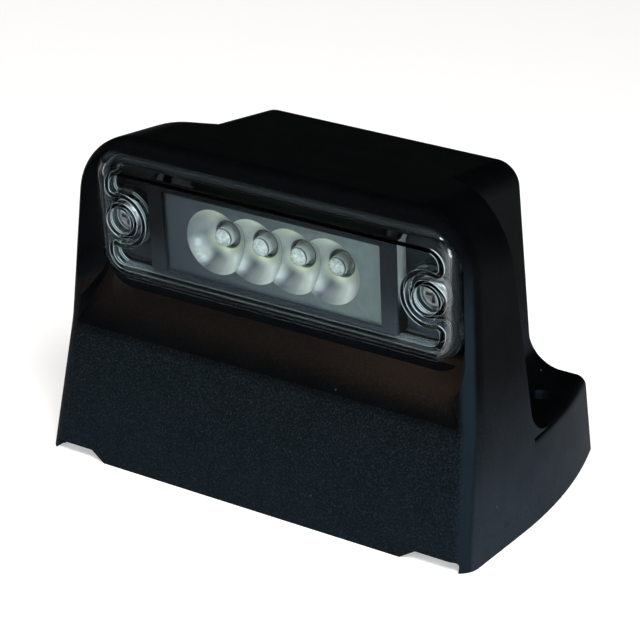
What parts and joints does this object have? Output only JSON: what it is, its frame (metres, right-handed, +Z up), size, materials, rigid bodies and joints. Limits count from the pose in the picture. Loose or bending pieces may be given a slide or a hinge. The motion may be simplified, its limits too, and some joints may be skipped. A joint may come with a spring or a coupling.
{
  "type": "number plate lamp",
  "caption": "Black hooded number plate lamp with a tilted clear lens over bowl reflectors and light emitting diodes, and a low wing at each side of its rear.",
  "frame": {"origin": "middle of the foot, on the surface that the lamp is screwed to", "axes": "the lens looks along -Y, +X is to the right seen from the lens side, +Z is up"},
  "size_m": [0.1044, 0.064, 0.0703],
  "materials": {
    "black_plastic": "fine moulded texture, matte black",
    "clear_plastic": "clear, polished",
    "rubber": "matte black",
    "mask_black": "smooth black",
    "reflector_silver": "satin metallised",
    "circuit_board": "green solder mask",
    "component_black": "moulded black",
    "tinned_brass": "tinned",
    "screw_steel": "zinc plated",
    "led_resin": "clear, slightly milky",
    "lead_steel": "silver plated",
    "phosphor": "pale yellow"
  },
  "bodies": {
    "root": {"housing": "black_plastic", "lens": "clear_plastic", "lens_seal": "rubber", "mask": "mask_black", "reflector": "reflector_silver", "tray": "black_plastic", "circuit_board": "circuit_board", "resistors": "component_black", "diode": "component_black", "terminals": "tinned_brass", "inlet_bush": "rubber", "lens_screws": "screw_steel", "led_body_1": "led_resin", "led_leads_1": "lead_steel", "led_chip_1": "phosphor", "led_body_2": "led_resin", "led_leads_2": "lead_steel", "led_chip_2": "phosphor", "led_body_3": "led_resin", "led_leads_3": "lead_steel", "led_chip_3": "phosphor", "led_body_4": "led_resin", "led_leads_4": "lead_steel", "led_chip_4": "phosphor"}
  },
  "joints": []
}
